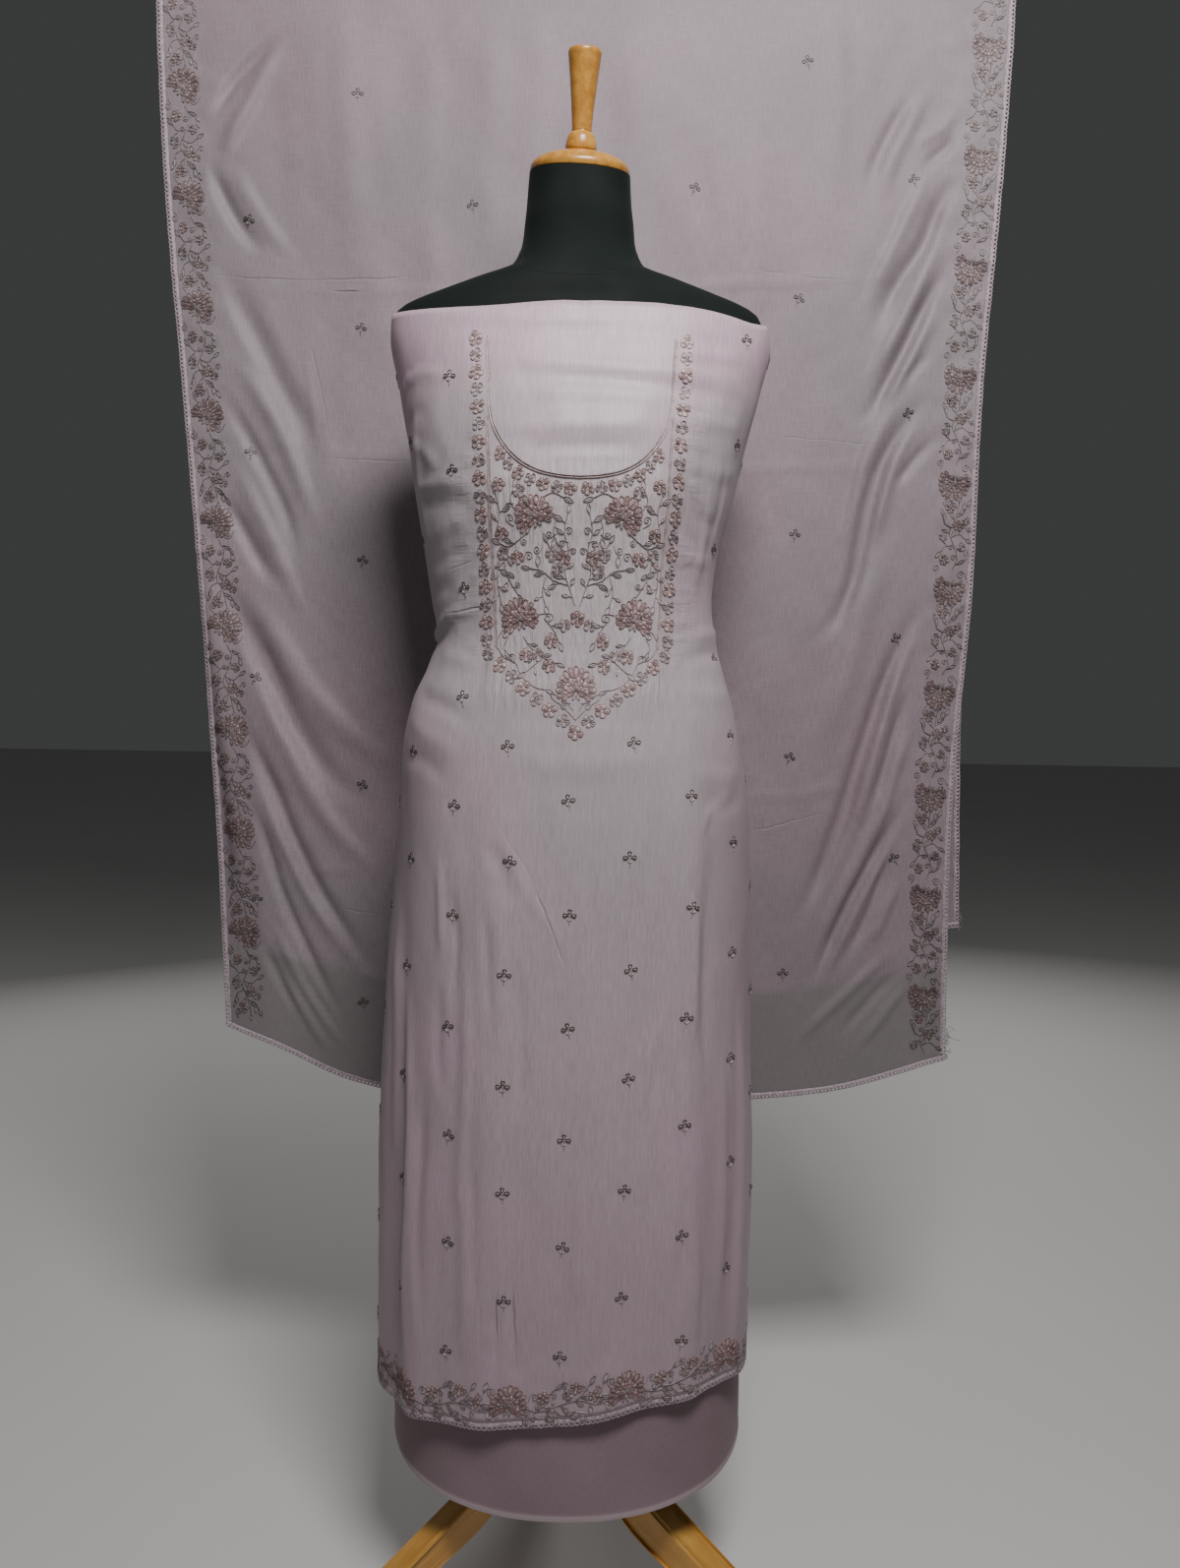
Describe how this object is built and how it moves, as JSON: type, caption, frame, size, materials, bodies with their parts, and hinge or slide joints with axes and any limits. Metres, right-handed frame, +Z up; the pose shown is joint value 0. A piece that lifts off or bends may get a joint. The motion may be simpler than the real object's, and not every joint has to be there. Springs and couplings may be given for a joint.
{
  "type": "salwar kameez suit on dress form with rod-hung dupatta",
  "caption": "Unstitched embroidered kameez length and plain bottom cloth wrapped on a limbless dress form on a wooden tripod, with a lace-edged dupatta hung over a rod behind.",
  "frame": {"origin": "on the floor, under the middle of the whole set's outline; the dress form's axis is 65 mm in front of it", "axes": "+Z up, front towards -Y, +X to the viewer's right"},
  "size_m": [1.1, 0.4595, 1.8047],
  "materials": {
    "kameez_crepe": "lilac-grey silky crepe with raised thread embroidery",
    "salwar_cloth": "plain matt mauve cloth",
    "dupatta_silk": "light silky cloth, lilac-grey, embroidered down both sides",
    "lace_thread": "narrow crochet edging",
    "form_jersey": "black stretch jersey cover",
    "varnished_wood": "honey-coloured varnish"
  },
  "bodies": {
    "root": {"kameez": "kameez_crepe", "kameez_hem_lace": "lace_thread", "salwar_cloth": "salwar_cloth", "dupatta_front": "dupatta_silk", "dupatta_over_rod": "dupatta_silk", "dupatta_back": "dupatta_silk", "lace_front_left": "lace_thread", "lace_front_right": "lace_thread", "lace_front_hem": "lace_thread", "lace_back_left": "lace_thread", "lace_back_right": "lace_thread", "lace_back_hem": "lace_thread", "form_body": "form_jersey", "form_neck_cap": "varnished_wood", "form_finial": "varnished_wood", "form_pole": "varnished_wood", "tripod_hub": "varnished_wood", "leg_front_left": "varnished_wood", "leg_front_right": "varnished_wood", "leg_rear": "varnished_wood", "dupatta_rod": "varnished_wood"}
  },
  "joints": []
}
